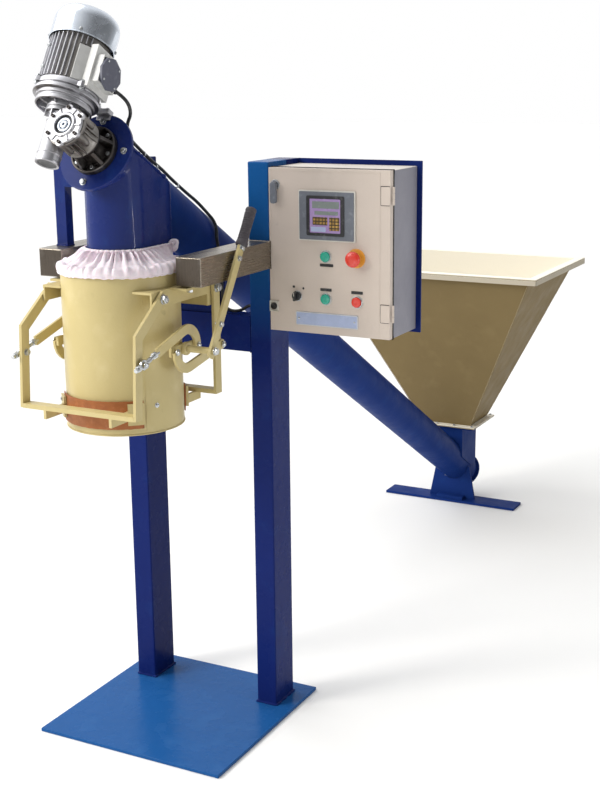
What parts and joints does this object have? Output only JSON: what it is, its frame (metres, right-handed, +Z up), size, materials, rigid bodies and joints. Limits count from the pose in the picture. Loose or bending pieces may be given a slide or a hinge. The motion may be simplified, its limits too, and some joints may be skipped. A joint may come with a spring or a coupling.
{
  "type": "screw-fed bag filling station",
  "caption": "Inclined screw conveyor lifts loose product from a hopper to a spout over a bag mouth; a lever closes rubber straps on the bag, weighing beams carry it and a cabinet controls it.",
  "frame": {"origin": "centre of the underside of the base plate, on the floor", "axes": "+Z up, +Y back along the screw conveyor towards the hopper, +X to the right of an operator who stands in front of the bag and faces it"},
  "size_m": [1.106, 2.9661, 2.0303],
  "materials": {
    "blue_paint": "gloss paint, royal blue",
    "cream_paint": "semi-gloss paint, cream",
    "grey_paint": "fine-texture powder coat, pebble grey",
    "stainless": "brushed",
    "steel": "machined",
    "aluminium": "as cast and turned",
    "cast": "rough cast, dark",
    "bronze": "machined",
    "strap_rubber": "matt, orange-brown",
    "grip_rubber": "matt, ribbed",
    "cover_cloth": "thin woven cloth, pale pink",
    "black_plastic": "matt",
    "green_plastic": "gloss",
    "red_plastic": "gloss"
  },
  "bodies": {
    "station": {"head_plate": "blue_paint", "shaft_seal": "black_plastic", "tail_plate": "blue_paint", "tail_bearing": "cast", "output_flange": "cast", "gearbox_housing": "aluminium", "gearbox_cover": "aluminium", "motor_adapter": "aluminium", "motor_body": "aluminium", "fan_cover": "aluminium", "terminal_box": "aluminium", "terminal_box_lid": "black_plastic", "base_plate": "blue_paint", "left_post": "blue_paint", "right_post": "blue_paint", "cross_member": "blue_paint", "tube_saddle": "blue_paint", "left_beam": "stainless", "left_load_cell": "aluminium", "right_beam": "stainless", "right_load_cell": "aluminium", "head_support": "blue_paint", "discharge_head": "blue_paint", "conveyor_tube": "blue_paint", "tail_foot": "blue_paint", "hopper": "cream_paint", "inlet_neck": "blue_paint", "motor_cable": "black_plastic", "drum": "cream_paint", "dust_cover": "cover_cloth", "clamp_frame": "cream_paint", "cabinet_back_plate": "blue_paint", "cabinet_body": "grey_paint", "mounting_panel": "steel"},
    "rotor": {"worm_shaft": "steel", "fan": "black_plastic"},
    "screw": {"auger": "steel", "worm_wheel": "bronze"},
    "lever": {"lever_crank": "cream_paint", "lever_arm": "cream_paint", "lever_grip": "grip_rubber"},
    "crank_left": {"left_crank": "cream_paint"},
    "yoke_front": {"front_yoke": "cream_paint", "front_strap": "strap_rubber"},
    "yoke_rear": {"rear_yoke": "cream_paint", "rear_strap": "strap_rubber"},
    "link_front_left": {"front_link_left": "cream_paint"},
    "link_front_right": {"front_link_right": "cream_paint"},
    "link_rear_left": {"rear_link_left": "cream_paint"},
    "link_rear_right": {"rear_link_right": "cream_paint"},
    "door": {"cabinet_door": "grey_paint", "controller": "black_plastic"},
    "start": {"start_button": "green_plastic"},
    "tare": {"tare_button": "green_plastic"},
    "stop": {"stop_button": "red_plastic"},
    "e_stop": {"e_stop_button": "red_plastic"},
    "selector": {"selector_knob": "black_plastic"},
    "handle": {"door_handle": "black_plastic"},
    "lock": {"key_lock": "black_plastic"}
  },
  "joints": [
    {"name": "motor_turn", "type": "hinge", "parent": "station", "child": "rotor", "pos_m": [-0.05, -0.39761, 1.72278], "axis": [0, 0.5075, 0.8616], "continuous": true},
    {"name": "screw_turn", "type": "hinge", "parent": "station", "child": "screw", "pos_m": [0, -0.308, 1.67], "axis": [0, 0.8616, -0.5075], "continuous": true},
    {"name": "lever_swing", "type": "hinge", "parent": "station", "child": "lever", "pos_m": [0.2, -0.212, 1.166], "axis": [1, 0, 0], "range_deg": [0, 90]},
    {"name": "left_crank_swing", "type": "hinge", "parent": "station", "child": "crank_left", "pos_m": [-0.2, -0.212, 1.166], "axis": [1, 0, 0], "range_deg": [0, 90]},
    {"name": "front_yoke_swing", "type": "hinge", "parent": "station", "child": "yoke_front", "pos_m": [0, -0.3, 1.308], "axis": [1, 0, 0], "range_deg": [-25.5, 0]},
    {"name": "rear_yoke_swing", "type": "hinge", "parent": "station", "child": "yoke_rear", "pos_m": [0, -0.04, 1.3], "axis": [1, 0, 0], "range_deg": [0, 18.7]},
    {"name": "front_link_left_swing", "type": "hinge", "parent": "yoke_front", "child": "link_front_left", "pos_m": [-0.19, -0.412, 1.163], "axis": [1, 0, 0], "range_deg": [0, 23]},
    {"name": "front_link_right_swing", "type": "hinge", "parent": "yoke_front", "child": "link_front_right", "pos_m": [0.19, -0.412, 1.163], "axis": [1, 0, 0], "range_deg": [0, 23]},
    {"name": "rear_link_left_swing", "type": "hinge", "parent": "yoke_rear", "child": "link_rear_left", "pos_m": [-0.19, -0.04, 1.146], "axis": [1, 0, 0], "range_deg": [-3.5, 0]},
    {"name": "rear_link_right_swing", "type": "hinge", "parent": "yoke_rear", "child": "link_rear_right", "pos_m": [0.19, -0.04, 1.146], "axis": [1, 0, 0], "range_deg": [-3.5, 0]},
    {"name": "door_swing", "type": "hinge", "parent": "station", "child": "door", "pos_m": [0.614, 0.14, 1.384], "axis": [0, 0, 1], "range_deg": [0, 110]},
    {"name": "start_press", "type": "slide", "parent": "door", "child": "start", "axis": [0, 1, 0], "range_m": [0, 0.003], "stiffness_N_per_m": 800, "springref_m": -0.001},
    {"name": "tare_press", "type": "slide", "parent": "door", "child": "tare", "axis": [0, 1, 0], "range_m": [0, 0.003], "stiffness_N_per_m": 800, "springref_m": -0.001},
    {"name": "stop_press", "type": "slide", "parent": "door", "child": "stop", "axis": [0, 1, 0], "range_m": [0, 0.003], "stiffness_N_per_m": 800, "springref_m": -0.001},
    {"name": "e_stop_press", "type": "slide", "parent": "door", "child": "e_stop", "axis": [0, 1, 0], "range_m": [0, 0.004], "stiffness_N_per_m": 1500, "springref_m": -0.001},
    {"name": "selector_turn", "type": "hinge", "parent": "door", "child": "selector", "pos_m": [0.335, 0.131, 1.261], "axis": [0, 1, 0], "range_deg": [-30, 30]},
    {"name": "handle_turn", "type": "hinge", "parent": "door", "child": "handle", "pos_m": [0.271, 0.131, 1.562], "axis": [0, 1, 0], "range_deg": [0, 90]},
    {"name": "lock_turn", "type": "hinge", "parent": "door", "child": "lock", "pos_m": [0.262, 0.131, 1.228], "axis": [0, 1, 0], "range_deg": [0, 90]}
  ],
  "couplings": [
    {"joint": "screw_turn", "follows": "motor_turn", "ratio": 0.05},
    {"joint": "left_crank_swing", "follows": "lever_swing", "ratio": 1},
    {"joint": "front_yoke_swing", "follows": "lever_swing", "ratio": -0.27876},
    {"joint": "rear_yoke_swing", "follows": "lever_swing", "ratio": 0.20397},
    {"joint": "front_link_left_swing", "follows": "lever_swing", "ratio": 0.25297},
    {"joint": "front_link_right_swing", "follows": "lever_swing", "ratio": 0.25297},
    {"joint": "rear_link_left_swing", "follows": "lever_swing", "ratio": -0.03604},
    {"joint": "rear_link_right_swing", "follows": "lever_swing", "ratio": -0.03604}
  ]
}
